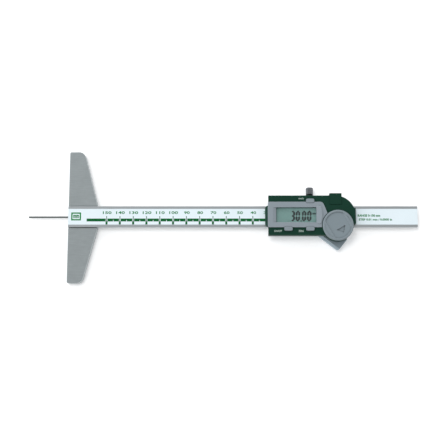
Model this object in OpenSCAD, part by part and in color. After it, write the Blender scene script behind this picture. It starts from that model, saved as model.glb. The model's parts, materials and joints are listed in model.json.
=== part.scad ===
// Digital depth caliper with a thin depth rod, lying on its back
// X runs along the beam from the measuring face, Y across it, Z up from the resting plane

/* [Beam] */
// Length of the beam from the measuring face to its free end
beam_l = 263; // [250:1:400]
// Width of the beam
beam_w = 16; // [15:0.5:18]
// Thickness of the beam
beam_t = 4; // [3.8:0.1:5]
// Width of the rod groove in the back of the beam
groove_w = 3.2; // [3:0.1:4]
// Depth of the rod groove
groove_d = 2.6; // [2.5:0.1:2.8]
// Width of the scale let into the front of the beam
scale_w = 12; // [11:0.5:13]
// Thickness of the copper grating under the label
grating_t = 0.3; // [0.2:0.05:0.4]
// Thickness of the printed label
label_t = 0.3; // [0.2:0.05:0.4]

/* [Scale print] */
// Highest reading of the scale
scale_range = 150; // [100:10:150]
// Distance of the zero mark from the measuring face
zero_x = 179; // [176:0.1:185]
// Pitch of the numbered marks
mark_pitch = 10; // [5:1:20]
// Width of the inked band
band_w = 2.2; // [1.5:0.1:2.5]
// Distance of the band below the centre line of the beam
band_drop = 2.5; // [2.4:0.1:3]
// Length of the band beyond the last mark
band_over = 15; // [5:0.5:20]
// Length of the band beyond the zero mark
band_under = 5; // [2:0.5:10]
// Width of the light gap that each numbered mark leaves in the band
gap_w = 1.3; // [0.6:0.1:2]
// Width of the notch half way between two marks
notch_w = 0.4; // [0.2:0.05:0.5]
// Depth of that notch
notch_d = 1.2; // [0.8:0.1:1.4]
// Width of the fine line through that gap
line_w = 0.5; // [0.2:0.05:0.6]
// Length of the fine line above the band
line_l = 1.9; // [1:0.1:2.5]
// Width of the block below the band
block_w = 1.5; // [0.8:0.1:1.8]
// Length of the block below the band
block_l = 2.3; // [1:0.1:2.4]
// Thickness of the ink
ink_t = 0.04; // [0.02:0.01:0.05]

/* [Base] */
// Length of the measuring face
base_l = 100; // [80:1:150]
// Width of the base where the beam crosses it
base_w = 21.8; // [18:0.1:26]
// Width of the base at its two ends
base_end_w = 10.9; // [9:0.1:14]
// Thickness of the base
base_t = 7; // [6:0.5:7.5]
// Height of the seat that carries the back of the beam
seat_z = 4; // [3.8:0.1:4.5]
// Radius of the two outer corners
base_r = 5; // [3:0.5:6]
// Radius of the corners at the measuring face
face_r = 1; // [0.5:0.1:2]
// Gap between the beam and each side of its slot
slot_gap = 0.25; // [0.05:0.05:0.5]
// Diameter of the base and stop screws
base_screw_d = 2.5; // [2:0.1:3]
// Diameter of their countersunk heads
base_head_d = 4.6; // [4:0.1:5.2]
// How far the screws bite into the beam
base_bite = 2.4; // [2:0.1:2.6]
// Distance of the screws from the centre line of the beam
base_screw_y = 4.9; // [4.6:0.1:5.2]
// Distance of the first pair of base screws from the measuring face
base_screw_x = 5.5; // [4.5:0.5:7]
// Distance between the two pairs of base screws
base_screw_pitch = 10.5; // [8:0.5:11]

/* [Depth rod] */
// Diameter of the depth rod
rod_d = 1.5; // [1.2:0.1:1.6]
// Reading at which the slider stands, which is how far the rod sticks out
reading = 30; // [25:0.5:100]
// Height of the rod above the seat
rod_rise = 1.15; // [1.1:0.05:1.3]
// Radial running gap between the rod and its guide
rod_gap = 0.04; // [0.02:0.01:0.08]
// Length of the guide bush
guide_l = 8; // [5:0.5:15]
// Setback of the guide bush from the measuring face
guide_x = 1; // [0.5:0.5:4]
// Gap round the guide bush and the clamp tongue in the groove
groove_gap = 0.1; // [0.05:0.05:0.15]

/* [End stop] */
// Length of the stop plate along the beam
stop_l = 10; // [8:0.5:14]
// Thickness of the stop plate
stop_t = 1.2; // [1:0.1:2]
// Setback of the stop plate from the end and the edges of the beam
stop_inset = 1; // [0.5:0.1:1.5]

/* [Slider frame] */
// Distance between a button and the edge of the housing
button_edge = 2.6; // [2:0.1:3]
// Distance of the centre of the round end to the left of the cell centre
round_off = 1.7; // [1:0.1:3]
// Distance of the left end of the housing from the mark it reads
case_index = 1.5; // [1:0.1:3]
// Inset of the metal frame from the outside of the housing
frame_inset = 1.6; // [1.6:0.1:1.8]
// Running gap between the slider and the beam
slide_gap = 0.1; // [0.06:0.01:0.12]
// Thickness of the metal web over the beam
web_t = 0.9; // [0.8:0.1:1.5]
// Thickness of the rear plate
plate_t = 1; // [0.8:0.1:1.2]
// Half width of the rear plate
plate_y = 8.6; // [8:0.1:9]
// Inset of the rear plate from the ends of the frame
plate_end = 2; // [1:0.5:3]
// Corner radius of the rear plate
plate_r = 2; // [1:0.5:3]
// Width of the slot for the rod clamp
clamp_slot_w = 6; // [5.6:0.1:6.6]
// Length of the rod clamp
clamp_l = 10; // [8:0.5:14]
// Distance of the rod clamp from the left end of the housing
clamp_u = 30; // [24:0.5:34]
// Diameter of the small frame screws
small_screw_d = 2; // [1.6:0.1:2.2]
// Diameter of their countersunk heads
small_head_d = 3.6; // [3.2:0.1:4]
// Length of the rear plate screws
plate_screw_l = 3.3; // [2.8:0.1:3.5]
// Distance of the rear plate screws from the centre line
plate_screw_y = 6; // [5.5:0.1:6.4]
// Distance of the rear plate screws from the ends of the plate
plate_screw_end = 4; // [3:0.5:6]

/* [Gib and lock] */
// Thickness of the brass gib
gib_t = 0.9; // [0.7:0.1:1.2]
// Play left round the gib
gib_gap = 0.05; // [0.03:0.01:0.1]
// Inset of the gib from the ends of the frame
gib_end = 2; // [1:0.5:4]
// Diameter of the gib set screws
gib_screw_d = 2.5; // [2:0.1:3]
// Length of the gib set screws
gib_screw_l = 3.2; // [2.5:0.1:3.6]
// Distance of the gib set screws from the ends of the gib
gib_screw_end = 8.5; // [8:0.5:12]
// Distance of the lock screw to the right of the upper button
lock_off = 0.2; // [0:0.1:1]
// Diameter of the knurled head
lock_head_d = 5.5; // [5:0.1:7]
// Length of the knurled head
lock_head_l = 4.8; // [3.5:0.1:6]
// Diameter of the threaded shank
lock_shank_d = 3; // [2.5:0.1:3.2]
// Radial gap between a screw and its thread
thread_gap = 0.05; // [0.02:0.01:0.1]
// Diameter of the collar under the head
collar_d = 5.3; // [5:0.1:5.8]
// Length of the collar
collar_l = 4.1; // [3.5:0.1:6]
// Clearance between the tip of the loosened screw and the gib
lock_free = 0.2; // [0.1:0.05:0.4]
// Number of flutes in the knurl
flutes = 20; // [12:1:28]
// Depth of the flutes
flute_d = 0.25; // [0.15:0.05:0.4]
// Chamfer at the end of the knurled head
lock_chamfer = 0.5; // [0.2:0.1:0.8]

/* [Thumb rest] */
// Distance from the cell centre to where the left flank leaves the frame
thumb_back = 15.1; // [12:0.1:17]
// Distance of the tip to the right of the cell centre
thumb_tip_off = 0.7; // [-1:0.1:3]
// Distance of the tip below the lower edge of the housing
thumb_reach = 10.6; // [8:0.1:13]
// Distance of the end of the right flank to the right of the cell centre
thumb_ahead = 7.2; // [5:0.1:8]
// Distance of that end below the lower edge of the housing
thumb_end_drop = 2.6; // [2:0.1:4]
// Radius of the tip
thumb_r = 1.8; // [1:0.1:3]
// Height of the underside of the thumb rest
thumb_z = 2.4; // [1.5:0.1:3.5]
// Drop of the top of the thumb rest below the top of the frame
thumb_drop = 1; // [0.8:0.1:2]
// Width of the sloped grip face along the left flank
bevel_w = 1.6; // [1:0.1:4.5]
// Height of the sloped grip face
bevel_h = 1.3; // [0.6:0.1:3.2]

/* [Housing] */
// Height of the housing above the frame
case_rise = 6; // [5.9:0.1:8]
// Thickness of the roof
roof_t = 1.2; // [1:0.1:1.3]
// Thickness of the side walls
case_wall = 1.5; // [1.2:0.1:1.5]
// Overlap of the side walls down the frame
skirt = 0.5; // [0.3:0.1:0.6]
// Radius of the screw bosses
boss_r = 2; // [1.8:0.1:2.2]
// Distance of the first pair of bosses from the left end
boss_u = 5; // [4.8:0.1:5.5]
// Distance of the second pair of bosses past the clear window
boss_past = 0.2; // [0:0.1:1]
// Distance of the bosses from the edge of the housing
boss_edge = 3.8; // [3.6:0.1:4]
// Length of the housing screws
case_screw_l = 11.3; // [10.5:0.1:12]
// Half width of the left wiper
left_wiper_y = 7.7; // [7:0.1:8]
// Half width of the right wiper
right_wiper_y = 6.2; // [5.5:0.1:6.5]
// How far the left wiper stands out of the housing
left_wiper_out = 2.3; // [1:0.1:3]
// How far the right wiper stands out of the round end
right_wiper_out = 0.5; // [0.2:0.1:2]
// Height of the wipers above the top of the beam
wiper_h = 4; // [3:0.1:4.2]
// Width of the lugs that hold a wiper in the housing
wiper_lug = 1.2; // [0.8:0.1:1.4]

/* [Electronics] */
// Thickness of the sensor plate
sensor_t = 0.8; // [0.6:0.1:0.8]
// Length of the sensor plate
sensor_l = 40; // [30:1:42]
// Width of the sensor plate
sensor_w = 13; // [11:0.5:14]
// Distance of the sensor plate from the left end
sensor_u = 5; // [4:0.5:7]
// Thickness of the circuit board
board_t = 0.8; // [0.6:0.1:1]
// Inset of the circuit board from the outside of the housing
board_inset = 2.2; // [2.2:0.1:2.6]
// Thickness of the display glass
lcd_t = 1.1; // [0.9:0.1:1.3]
// How far the display glass reaches past each end of the opening
lcd_side = 1.5; // [1:0.1:2]
// How far the display glass reaches past each long edge of the opening
lcd_edge = 2.2; // [1.8:0.1:2.6]
// Width of the rubber connector strips
strip_w = 1.6; // [1.2:0.1:2]
// Thickness of the clear window
window_t = 0.7; // [0.5:0.1:0.8]
// Bond width round the clear window
window_lip = 1; // [0.8:0.1:1.4]
// Side of the controller chip
chip_w = 8; // [6:0.5:10]
// Height of the controller chip
chip_h = 1; // [0.8:0.1:1.3]
// Side of a dome switch
switch_w = 3.4; // [3:0.1:3.5]
// Height of a dome switch body
switch_h = 0.9; // [0.7:0.1:1]
// Height of the plunger of a switch
plunger_h = 0.35; // [0.2:0.05:0.4]

/* [Bezel] */
// Thickness of the bezel above the housing
bezel_t = 1.2; // [0.8:0.1:1.6]
// Distance of the right end of the bezel past the display opening
bezel_past = 8.2; // [7:0.1:10]
// Overhang of the bezel past the left end
bezel_left = 0.4; // [0:0.1:1]
// Distance of the upper edge of the bezel from the edge of the housing
bezel_over = 5; // [4.6:0.1:5.4]
// Distance of the lower edge of the bezel from the edge of the housing
bezel_under = 5.8; // [5.4:0.1:6]
// How far the right side leans in towards the upper edge
bezel_lean = 3.4; // [1:0.1:4.5]
// Height of the part that leans
lean_h = 8.5; // [5:0.1:9]
// Radius of the upper right corner
bezel_r = 3; // [1:0.1:4]
// Radius of the other corners
bezel_small_r = 1.2; // [0.6:0.1:1.5]
// Length of the display opening
win_l = 30; // [28:0.5:31]
// Height of the display opening
win_h = 11.4; // [10.5:0.1:12]
// Centre of the display opening from the left end
win_u = 20.8; // [20:0.1:21.5]
// Centre of the display opening above the centre line
win_y = 0.2; // [-0.2:0.1:0.5]
// Corner radius of the display opening
win_r = 0.6; // [0.3:0.1:1]
// Distance of the crescent ridge from the display opening
ridge_gap = 0.3; // [0.2:0.1:0.6]
// Width of its rise up to the crest
ridge_w = 3.6; // [3:0.1:4]
// Width of its fall beyond the crest
ridge_fall = 1.6; // [1:0.1:1.8]
// Height of the crest
ridge_h = 0.9; // [0.4:0.1:0.9]
// Radius of the crest seen from above
crest_r = 14; // [10:1:20]
// Length of the ridge
ridge_l = 13; // [9:0.5:14]
// Width of the slope left of the display
channel_w = 2.5; // [1:0.1:2.8]
// Drop of that slope at the display opening
channel_d = 0.8; // [0.2:0.1:0.8]
// Gap between the bezel and the battery cover
bezel_gap = 0.5; // [0.3:0.1:1]

/* [Buttons] */
// Length of a button
button_l = 6.2; // [5.8:0.1:7]
// Width of a button
button_w = 3.2; // [3:0.1:3.5]
// Corner radius of a button
button_r = 1.2; // [0.8:0.1:1.5]
// How far a button stands above the bezel
button_out = 0.3; // [0.2:0.05:0.8]
// Travel of a button
button_travel = 0.5; // [0.3:0.05:0.5]
// Gap round a button
button_gap = 0.2; // [0.1:0.05:0.25]
// Width of the collar that keeps a button in
button_lip = 0.4; // [0.3:0.05:0.4]
// Thickness of that collar
lip_t = 0.8; // [0.5:0.1:1]
// Distance of the right-hand buttons before the end of the clear window
button_back = 6.6; // [6:0.1:7]
// Distance between the two lower buttons
button_pitch = 16.3; // [15:0.1:18]
// Room between the display glass and the collar of the upper button
button_room = 0.7; // [0.5:0.1:1]
// Room between the display glass and the collars of the lower buttons
low_button_room = 0.5; // [0.4:0.1:0.8]

/* [Battery] */
// Diameter of the coin cell
cell_d = 20; // [19.5:0.1:20.2]
// Height of the coin cell
cell_h = 3.2; // [2.5:0.1:3.2]
// Room between the clear window and the pocket of the cell
cell_room = 3.7; // [3:0.1:5]
// Centre of the cell below the centre line
cell_y = 7.7; // [7.2:0.1:8]
// Gap round the cell
cell_gap = 0.3; // [0.2:0.05:0.4]
// Thickness of the ledge under the cell
ledge_t = 0.5; // [0.4:0.1:0.8]
// Width of the ledge under the cell
ledge_w = 1; // [0.6:0.1:1.2]
// Outer radius of the battery cup
cup_r = 11.4; // [11.3:0.1:11.6]
// Height of the cup rim above the roof
cup_rise = 0.6; // [0.4:0.1:1]
// Diameter of the battery cover
cover_d = 23.1; // [22.8:0.1:24]
// Thickness of the cover above the cup rim
cover_t = 1.5; // [1.2:0.1:2]
// Gap between the cover and the cup rim
cover_gap = 0.1; // [0.05:0.05:0.2]
// Radial gap between the spigot and the cup
spigot_gap = 0.1; // [0.05:0.01:0.15]
// Width of the raised rim of the cover
rim_w = 1.5; // [1:0.1:2]
// Depth of the sunk middle of the cover
sunk_d = 0.7; // [0.3:0.1:0.9]
// Width of the slope along each side of the sunk middle
sunk_slope = 1; // [0.4:0.1:1.5]
// Width of the sunk middle from crest to crest
sunk_w = 15.8; // [12:0.1:17]
// Offset of the sunk middle across its length
sunk_off = 0.8; // [0:0.1:1.2]
// Fall of the face beyond the two crests
crest_fall = 0.3; // [0.1:0.1:0.5]
// Width of that fall
crest_run = 1.2; // [0.8:0.1:1.5]
// Chamfer round the top of the cover
cover_chamfer = 0.6; // [0.2:0.1:0.8]
// Angle of the sunk middle
sunk_angle = -60; // [-75:1:-45]
// Height of the bayonet lugs
lug_h = 0.6; // [0.4:0.1:0.6]
// How far the bayonet lugs stand out
lug_out = 0.5; // [0.3:0.05:0.5]
// Angle that a bayonet lug takes up
lug_angle = 36; // [24:1:40]
// Angle through which the cover turns to open
open_angle = 45; // [42:1:60]
// Section diameter of the cover seal
seal_d = 0.8; // [0.6:0.05:0.8]

/* [Data port] */
// Distance of the left edge of the port cover from the centre of the round end
port_back = 4.3; // [3:0.1:4.5]
// Width of the port cover
port_w = 9; // [8:0.1:9.5]
// Length of the panel on the roof
port_l = 6.8; // [6:0.1:7.5]
// Thickness of the panel
port_t = 0.9; // [0.7:0.1:1.2]
// Depth to which the panel is let into the roof
port_sunk = 0.6; // [0.4:0.1:0.7]
// Thickness of the hooked end
port_hook = 1.6; // [1.2:0.1:2]
// Drop of the hooked end below the roof
port_drop = 5.6; // [5:0.1:5.8]
// Gap round the port cover
port_gap = 0.1; // [0.05:0.05:0.2]
// Width of the socket behind it
socket_w = 6; // [5:0.1:6.4]
// Height of the socket
socket_h = 3.5; // [3:0.1:3.6]

/* [Hidden] */
$fn = 64;
// Extra length of a cut so that it passes its faces
over = 1;
// Clearance of a flat piece laid into a pocket
fit_gap = 0.1;
// Gap between a piece and the underside of the roof
roof_gap = 0.1;
// Sheet thickness of the battery contacts
contact_t = 0.15;
// Width of the battery contacts
contact_w = 4;
// Width and depth of the driver slots in screws
slot_w = 0.5;
slot_d = 0.5;
// Thickness of the wiper lugs
lug_t = 0.6;
// Corner cuts of the left and the right wiper
wiper_cut = 1.4;
right_cut = 0.3;

beam_top = seat_z + beam_t;
recess_d = grating_t + label_t;
lcd_l = win_l + 2 * lcd_side;
lcd_w = win_h + 2 * lcd_edge;
window_right = win_u + win_l / 2 + 2 * window_lip;
button_u = window_right - button_back;
lock_u = button_u + lock_off;
cell_u = window_right + cell_room + cell_d / 2 + cell_gap;
case_straight = cell_u - round_off;
top_button_y = win_y + lcd_w / 2 + button_lip + button_room + button_w / 2;
low_button_y = lcd_w / 2 - win_y + button_lip + low_button_room + button_w / 2;
case_w = 2 * (top_button_y + button_w / 2 + button_edge);
boss_y = case_w / 2 - boss_edge;
bezel_top = case_w / 2 - bezel_over;
bezel_bottom = case_w / 2 - bezel_under;
bezel_right = win_u + win_l / 2 + bezel_past;
port_u = case_straight - port_back;
socket_y = case_w / 2 - 3 * case_wall;
rod_z = seat_z + rod_rise;
slider_x = zero_x - reading + case_index;
channel_floor = seat_z - slide_gap;
channel_roof = beam_top + slide_gap;
frame_top = channel_roof + web_t;
board_top = frame_top + board_t;
case_top = frame_top + case_rise;
roof_under = case_top - roof_t;
skirt_z = frame_top - skirt;
bezel_z = case_top + bezel_t;
frame_y = case_w / 2 - frame_inset;
frame_end = case_straight + frame_y;
gib_in = beam_w / 2 + slide_gap;
gib_out = gib_in + gib_t;
channel_top = gib_out + gib_gap;
gib_l = frame_end - frame_inset - 2 * gib_end - frame_y / 2;
mid_z = seat_z + beam_t / 2;
thumb_top = frame_top - thumb_drop;
cup_top = case_top + cup_rise;
cell_z = board_top + fit_gap + ledge_t;
cell_top = cell_z + cell_h;
pocket_r = cell_d / 2 + cell_gap;
spigot_r = pocket_r - spigot_gap;
spigot_z = cell_top + contact_t + fit_gap;
cover_z = cup_top + cover_gap;
cover_top = cover_z + cover_t;
window_z = roof_under - window_t;
lcd_top = window_z - fit_gap;
lcd_z = lcd_top - lcd_t;
plate_l = case_straight + frame_y / 2 - frame_inset;
base_screw_at = [
    for (x = [base_screw_x, base_screw_x + base_screw_pitch])
        for (y = [-base_screw_y, base_screw_y]) [x, y]
];
stop_x = beam_l - stop_inset - stop_l;
stop_screw_at = [for (y = [-base_screw_y, base_screw_y]) [stop_x + stop_l / 2, y]];
plate_screw_at = [
    for (u = [frame_inset + plate_end + plate_screw_end,
              frame_inset + plate_end + plate_l - plate_screw_end])
        for (y = [-plate_screw_y, plate_screw_y]) [u, y]
];
clamp_screw_at = [clamp_u + clamp_l / 2, 0];
boss_at = [
    for (u = [boss_u, window_right + boss_past])
        for (y = [-boss_y, boss_y]) [u, y]
];
gib_screw_at = [
    for (u = [frame_inset + gib_end + gib_screw_end,
              frame_inset + gib_end + gib_l - gib_screw_end]) u
];
button_at = [
    [button_u, top_button_y],
    [button_u - button_pitch, -low_button_y],
    [button_u, -low_button_y]
];
mark_at = [for (r = [0:mark_pitch:scale_range]) zero_x - r];

// Unit vector and the two tangent points of a rounded corner
function unit(v) = v / norm(v);
function corner(before, at, after, r) =
    let (
        u = unit(before - at),
        v = unit(after - at),
        half = acos(u * v) / 2,
        d = r / tan(half)
    )
    r > 0 ? [at + u * d, at + v * d] : [at];
function corner_centre(before, at, after, r) =
    let (
        u = unit(before - at),
        v = unit(after - at),
        half = acos(u * v) / 2
    )
    at + unit(u + v) * r / sin(half);

// Convex outline with true round corners
module rounded(points, radii) {
    n = len(points);
    polygon([
        for (i = [0:n - 1])
            each corner(points[(i + n - 1) % n], points[i], points[(i + 1) % n], radii[i])
    ]);
    for (i = [0:n - 1])
        if (radii[i] > 0)
            translate(corner_centre(
                points[(i + n - 1) % n], points[i], points[(i + 1) % n], radii[i]
            ))
                circle(r = radii[i]);
}

// Rectangle with round corners, centred on a point
module pad(centre, size, r) {
    x = size.x / 2;
    y = size.y / 2;
    translate(centre)
        rounded([[-x, -y], [x, -y], [x, y], [-x, y]], [r, r, r, r]);
}

// Countersunk screw whose head is flush with z = 0 and whose shank points up
module countersunk(d, head_d, l) {
    difference() {
        union() {
            cylinder(d = d, h = l);
            cylinder(d1 = head_d, d2 = d, h = (head_d - d) / 2);
        }
        translate([-head_d, -slot_w / 2, -over])
            cube([2 * head_d, slot_w, slot_d + over]);
    }
}

// Hole for that screw with a radial gap all round
module countersunk_hole(d, head_d, l, gap) {
    translate([0, 0, -over])
        cylinder(d = d + 2 * gap, h = l + over + gap);
    translate([0, 0, -gap])
        cylinder(d1 = head_d + 4 * gap, d2 = d, h = (head_d - d) / 2 + 2 * gap);
}

// Everything that is placed from the left end of the housing
module on_slider() {
    translate([slider_x, 0, 0])
        children();
}

// Plan of the slider with its round end and its battery cup
module slider_plan(inset) {
    translate([inset, inset - case_w / 2])
        square([case_straight - inset, case_w - 2 * inset]);
    translate([case_straight, 0])
        circle(r = case_w / 2 - inset);
    translate([cell_u, -cell_y])
        circle(r = cup_r - inset);
}

module beam() {
    color([0.6, 0.62, 0.62])
        difference() {
            translate([0, -beam_w / 2, seat_z])
                cube([beam_l, beam_w, beam_t]);
            translate([-over, -scale_w / 2, beam_top - recess_d])
                cube([beam_l + 2 * over, scale_w, recess_d + over]);
            translate([-over, -groove_w / 2, seat_z - over])
                cube([beam_l + 2 * over, groove_w, groove_d + over]);
            for (p = concat(base_screw_at, stop_screw_at))
                translate([p.x, p.y, seat_z - over])
                    cylinder(d = base_screw_d + 2 * thread_gap, h = base_bite + thread_gap + over);
        }
}

// Copper grating that the sensor reads
module scale_strip() {
    color([0.72, 0.45, 0.3])
        translate([0, -scale_w / 2, beam_top - recess_d])
            cube([beam_l, scale_w, grating_t]);
}

module scale_label() {
    color([0.9, 0.94, 0.97])
        translate([0, -scale_w / 2, beam_top - label_t])
            cube([beam_l, scale_w, label_t]);
}

// Length of band between two of its ends, with an optional notch in its lower edge
module band(from, to, notched) {
    difference() {
        translate([from, -band_drop - band_w / 2, 0])
            cube([to - from, band_w, ink_t]);
        if (notched)
            translate([(from + to - notch_w) / 2, -band_drop - band_w / 2 - over, -over])
                cube([notch_w, notch_d + over, ink_t + 2 * over]);
    }
}

module graduations() {
    color([0.1, 0.36, 0.2])
        translate([0, 0, beam_top]) {
            band(zero_x - scale_range - band_over, zero_x - scale_range - gap_w / 2, false);
            band(zero_x + gap_w / 2, zero_x + band_under, false);
            for (i = [1:len(mark_at) - 1])
                band(mark_at[i] + gap_w / 2, mark_at[i - 1] - gap_w / 2, true);
            for (x = mark_at) {
                translate([x - line_w / 2, -band_drop - band_w / 2 - over, 0])
                    cube([line_w, band_w + line_l + over, ink_t]);
                translate([x - block_w / 2, -band_drop - band_w / 2 - block_l, 0])
                    cube([block_w, block_l, ink_t]);
            }
        }
}

module base() {
    y = base_l / 2;
    y_mid = beam_w / 2 + slot_gap;
    color([0.58, 0.6, 0.6])
        difference() {
            linear_extrude(base_t)
                rounded(
                    [[0, -y], [base_end_w, -y], [base_w, -y_mid], [base_w, y_mid],
                     [base_end_w, y], [0, y]],
                    [face_r, base_r, 0, 0, base_r, face_r]
                );
            translate([-over, -y_mid, seat_z])
                cube([base_w + 2 * over, 2 * y_mid, base_t]);
            for (p = base_screw_at)
                translate([p.x, p.y, 0])
                    countersunk_hole(base_screw_d, base_head_d, seat_z + over, thread_gap);
        }
}

module base_screws() {
    color([0.5, 0.51, 0.52])
        for (p = base_screw_at)
            translate([p.x, p.y, 0])
                countersunk(base_screw_d, base_head_d, seat_z + base_bite);
}

module rod_guide() {
    w = groove_w - 2 * groove_gap;
    color([0.78, 0.64, 0.35])
        difference() {
            translate([guide_x, -w / 2, seat_z])
                cube([guide_l, w, groove_d - groove_gap]);
            translate([guide_x - over, 0, rod_z])
                rotate([0, 90, 0])
                    cylinder(d = rod_d + 2 * rod_gap, h = guide_l + 2 * over);
        }
}

module end_stop() {
    w = beam_w - 2 * stop_inset;
    color([0.6, 0.62, 0.62])
        difference() {
            translate([stop_x, -w / 2, seat_z - stop_t])
                cube([stop_l, w, stop_t]);
            for (p = stop_screw_at)
                translate([p.x, p.y, seat_z - stop_t])
                    countersunk_hole(base_screw_d, base_head_d, stop_t + over, thread_gap);
        }
}

module end_stop_screws() {
    color([0.5, 0.51, 0.52])
        for (p = stop_screw_at)
            translate([p.x, p.y, seat_z - stop_t])
                countersunk(base_screw_d, base_head_d, stop_t + base_bite);
}

// Thumb rest with the sloped grip face along its left flank
module thumb_rest() {
    start = [cell_u - thumb_back, -frame_y];
    tip = [cell_u + thumb_tip_off, -case_w / 2 - thumb_reach];
    end = [cell_u + thumb_ahead, -case_w / 2 - thumb_end_drop];
    flank = tip - start;
    extra = thumb_top;
    difference() {
        translate([0, 0, thumb_z])
            linear_extrude(thumb_top - thumb_z)
                rounded(
                    [start, tip, end, [end.x, 0], [start.x, 0]],
                    [0, thumb_r, thumb_r, 0, 0]
                );
        translate([start.x, start.y, thumb_top])
            rotate([0, 0, atan2(flank.y, flank.x)])
                translate([-extra, bevel_w, 0])
                    rotate([atan2(bevel_h, bevel_w), 0, 0])
                        translate([0, -norm(flank), 0])
                            cube([norm(flank) + 2 * extra, norm(flank), thumb_top]);
    }
}

module slider_frame() {
    color([0.5, 0.54, 0.56])
        on_slider()
            difference() {
                union() {
                    translate([0, 0, plate_t])
                        linear_extrude(frame_top - plate_t)
                            slider_plan(frame_inset);
                    thumb_rest();
                }
                translate([-over, -gib_in, channel_floor])
                    cube([case_straight + case_w, gib_in + channel_top, channel_roof - channel_floor]);
                translate([-over, -clamp_slot_w / 2, 0])
                    cube([case_straight + case_w, clamp_slot_w, channel_floor + over]);
                translate([sensor_u - fit_gap, -sensor_w / 2 - fit_gap, channel_roof - over])
                    cube([sensor_l + 2 * fit_gap, sensor_w + 2 * fit_gap, web_t + 2 * over]);
                translate([lock_u, gib_out, mid_z])
                    rotate([-90, 0, 0])
                        cylinder(d = lock_shank_d + 2 * thread_gap, h = case_w);
                for (u = gib_screw_at)
                    translate([u, gib_out, mid_z])
                        rotate([-90, 0, 0])
                            cylinder(d = gib_screw_d + 2 * thread_gap, h = case_w);
                for (p = plate_screw_at)
                    translate([p.x, p.y, 0])
                        cylinder(d = small_screw_d + 2 * thread_gap, h = plate_screw_l + thread_gap);
                for (p = boss_at)
                    translate([p.x, p.y, plate_t])
                        countersunk_hole(small_screw_d, small_head_d, frame_top, thread_gap);
            }
}

module rear_plate() {
    color([0.62, 0.64, 0.65])
        on_slider()
            difference() {
                linear_extrude(plate_t)
                    pad([frame_inset + plate_end + plate_l / 2, 0], [plate_l, 2 * plate_y], plate_r);
                for (p = concat(plate_screw_at, [clamp_screw_at]))
                    translate([p.x, p.y, 0])
                        countersunk_hole(small_screw_d, small_head_d, plate_t + over, thread_gap);
            }
}

module rear_plate_screws() {
    color([0.45, 0.46, 0.47])
        on_slider()
            for (p = concat(plate_screw_at, [clamp_screw_at]))
                translate([p.x, p.y, 0])
                    countersunk(small_screw_d, small_head_d, plate_screw_l);
}

module gib() {
    color([0.78, 0.64, 0.35])
        on_slider()
            translate([frame_inset + gib_end, gib_in, seat_z + gib_gap])
                cube([gib_l, gib_t, beam_t - 2 * gib_gap]);
}

module gib_screws() {
    color([0.3, 0.3, 0.31])
        on_slider()
            for (u = gib_screw_at)
                translate([u, gib_out, mid_z])
                    rotate([-90, 0, 0])
                        difference() {
                            cylinder(d = gib_screw_d, h = gib_screw_l);
                            translate([-slot_w / 2, -gib_screw_d, gib_screw_l - slot_d])
                                cube([slot_w, 2 * gib_screw_d, slot_d + over]);
                        }
}

// Lip that keeps dirt off the scale, with cut corners and lugs behind the wall
module left_wiper() {
    y = left_wiper_y;
    color([0.09, 0.17, 0.13])
        on_slider() {
            translate([0, 0, channel_roof])
                linear_extrude(wiper_h)
                    polygon([
                        [case_wall, -y], [case_wall, y], [0, y], [wiper_cut - left_wiper_out, y],
                        [-left_wiper_out, y - wiper_cut], [-left_wiper_out, wiper_cut - y],
                        [wiper_cut - left_wiper_out, -y], [0, -y]
                    ]);
            translate([case_wall, -y - wiper_lug, frame_top])
                cube([lug_t, 2 * (y + wiper_lug), wiper_h - web_t]);
        }
}

module right_wiper() {
    y = right_wiper_y;
    x = case_straight + case_w / 2 + right_wiper_out;
    color([0.09, 0.17, 0.13])
        on_slider()
            translate([0, 0, channel_roof])
                linear_extrude(wiper_h)
                    polygon([
                        [frame_end + fit_gap, -y], [x - right_cut, -y], [x, right_cut - y],
                        [x, y - right_cut], [x - right_cut, y], [frame_end + fit_gap, y]
                    ]);
}

module depth_rod() {
    color([0.5, 0.52, 0.52])
        translate([-reading, 0, rod_z])
            rotate([0, 90, 0])
                cylinder(d = rod_d, h = reading + slider_x + clamp_u + clamp_l);
}

// Block under the beam whose tongue holds the end of the rod in the groove
module rod_clamp() {
    body_w = clamp_slot_w - 2 * fit_gap;
    tongue_w = groove_w - 2 * groove_gap;
    tongue_top = seat_z + groove_d - groove_gap;
    color([0.78, 0.64, 0.35])
        on_slider()
            difference() {
                union() {
                    translate([clamp_u, -body_w / 2, plate_t])
                        cube([clamp_l, body_w, channel_floor - plate_t]);
                    translate([clamp_u, -tongue_w / 2, plate_t])
                        cube([clamp_l, tongue_w, tongue_top - plate_t]);
                }
                translate([clamp_u - over, 0, rod_z])
                    rotate([0, 90, 0])
                        cylinder(d = rod_d, h = clamp_l + 2 * over);
                translate([clamp_screw_at.x, clamp_screw_at.y, 0])
                    cylinder(d = small_screw_d + 2 * thread_gap, h = plate_screw_l + thread_gap);
            }
}

module sensor_plate() {
    color([0.16, 0.38, 0.24])
        on_slider()
            translate([sensor_u, -sensor_w / 2, frame_top - sensor_t])
                cube([sensor_l, sensor_w, sensor_t]);
}

module circuit_board() {
    color([0.12, 0.4, 0.22])
        on_slider()
            translate([0, 0, frame_top])
                linear_extrude(board_t)
                    difference() {
                        slider_plan(board_inset);
                        for (p = boss_at)
                            translate(p)
                                circle(r = boss_r + fit_gap);
                    }
}

module controller_chip() {
    color([0.08, 0.08, 0.09])
        on_slider()
            translate([win_u - chip_w / 2, -chip_w / 2, board_top])
                cube([chip_w, chip_w, chip_h]);
}

// Rubber strips that join the board to the display glass
module lcd_connectors() {
    color([0.75, 0.5, 0.62])
        on_slider()
            for (side = [-1, 1])
                translate([
                    win_u - lcd_l / 2,
                    win_y + side * (lcd_w - strip_w) / 2 - strip_w / 2,
                    board_top
                ])
                    cube([lcd_l, strip_w, lcd_z - board_top]);
}

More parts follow.
